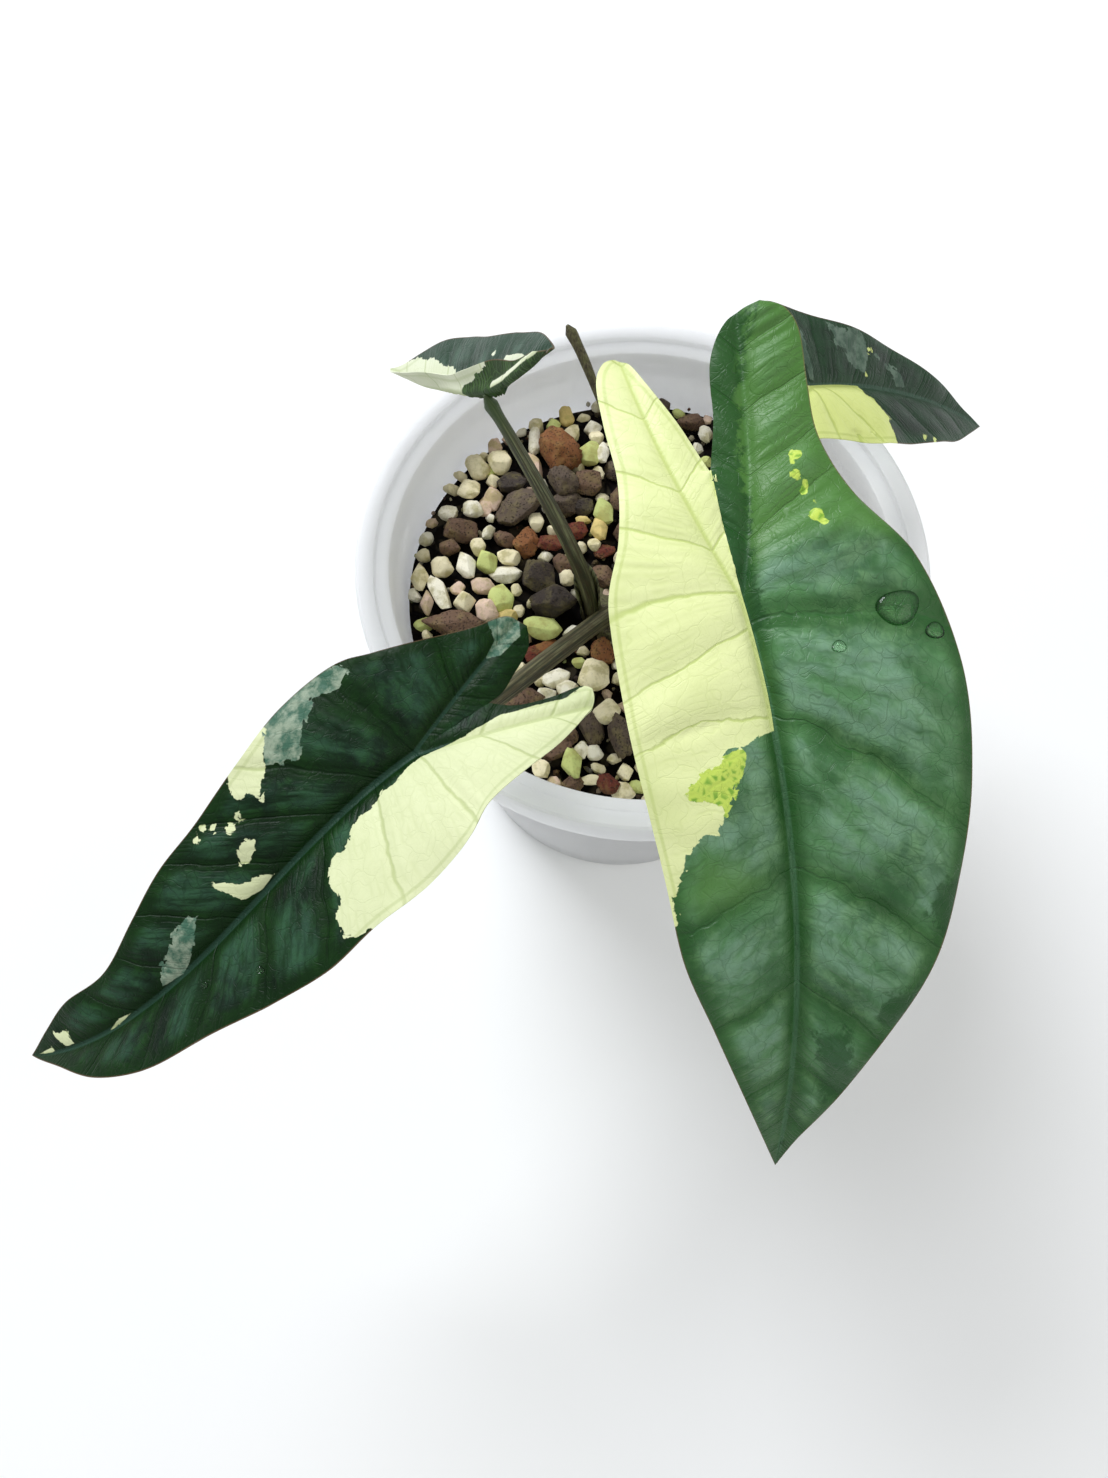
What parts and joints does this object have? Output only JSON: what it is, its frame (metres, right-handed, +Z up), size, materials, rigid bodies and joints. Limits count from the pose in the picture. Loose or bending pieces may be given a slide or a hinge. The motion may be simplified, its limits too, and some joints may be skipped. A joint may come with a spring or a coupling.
{
  "type": "potted variegated alocasia",
  "caption": "Potted aroid house plant with long arrow-shaped variegated leaves on thin stalks, rooted in gritty mix in a round tapered nursery pot.",
  "frame": {"origin": "centre of the pot's flat base, on the surface it stands on", "axes": "+Z up; the largest leaf points towards -Y and the lowest long leaf towards -X"},
  "size_m": [0.2068, 0.1942, 0.1798],
  "materials": {
    "pot_plastic": "frosted translucent",
    "mix": "rough loose stones",
    "stem_base": "papery",
    "stalk": "satin",
    "blade_front": "satin",
    "blade_left": "satin",
    "blade_rear_right": "satin",
    "blade_rear_left": "satin",
    "dry_stalk": "dry"
  },
  "bodies": {
    "root": {"pot": "pot_plastic", "potting_mix": "mix", "corm": "stem_base", "petiole_front": "stalk", "petiole_left": "stalk", "petiole_rear_right": "stalk", "petiole_rear_left": "stalk", "leaf_front": "blade_front", "leaf_left": "blade_left", "leaf_rear_right": "blade_rear_right", "leaf_rear_left": "blade_rear_left", "dry_petiole": "dry_stalk"}
  },
  "joints": []
}
